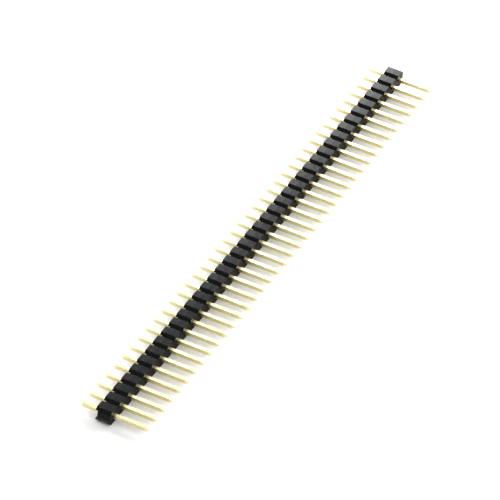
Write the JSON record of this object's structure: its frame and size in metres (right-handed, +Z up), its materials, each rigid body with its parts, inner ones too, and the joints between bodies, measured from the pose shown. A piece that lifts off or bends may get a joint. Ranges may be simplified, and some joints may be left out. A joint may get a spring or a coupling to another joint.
{
  "type": "pin header strip",
  "caption": "Straight single-row through-hole pin header strip: gold-plated square pins in a black moulded housing with break-off notches.",
  "frame": {"origin": "centre of the footprint, on the surface that the strip lies on", "axes": "+X along the row, +Y towards the solder tails and -Y towards the mating posts, +Z up across the housing"},
  "size_m": [0.1016, 0.0114, 0.0025],
  "materials": {
    "housing_plastic": "black glass-filled polyester, satin moulded skin",
    "pin_gold": "thin pale gold plating over brass"
  },
  "bodies": {
    "root": {"housing": "housing_plastic", "pin_01": "pin_gold", "pin_02": "pin_gold", "pin_03": "pin_gold", "pin_04": "pin_gold", "pin_05": "pin_gold", "pin_06": "pin_gold", "pin_07": "pin_gold", "pin_08": "pin_gold", "pin_09": "pin_gold", "pin_10": "pin_gold", "pin_11": "pin_gold", "pin_12": "pin_gold", "pin_13": "pin_gold", "pin_14": "pin_gold", "pin_15": "pin_gold", "pin_16": "pin_gold", "pin_17": "pin_gold", "pin_18": "pin_gold", "pin_19": "pin_gold", "pin_20": "pin_gold", "pin_21": "pin_gold", "pin_22": "pin_gold", "pin_23": "pin_gold", "pin_24": "pin_gold", "pin_25": "pin_gold", "pin_26": "pin_gold", "pin_27": "pin_gold", "pin_28": "pin_gold", "pin_29": "pin_gold", "pin_30": "pin_gold", "pin_31": "pin_gold", "pin_32": "pin_gold", "pin_33": "pin_gold", "pin_34": "pin_gold", "pin_35": "pin_gold", "pin_36": "pin_gold", "pin_37": "pin_gold", "pin_38": "pin_gold", "pin_39": "pin_gold", "pin_40": "pin_gold"}
  },
  "joints": []
}
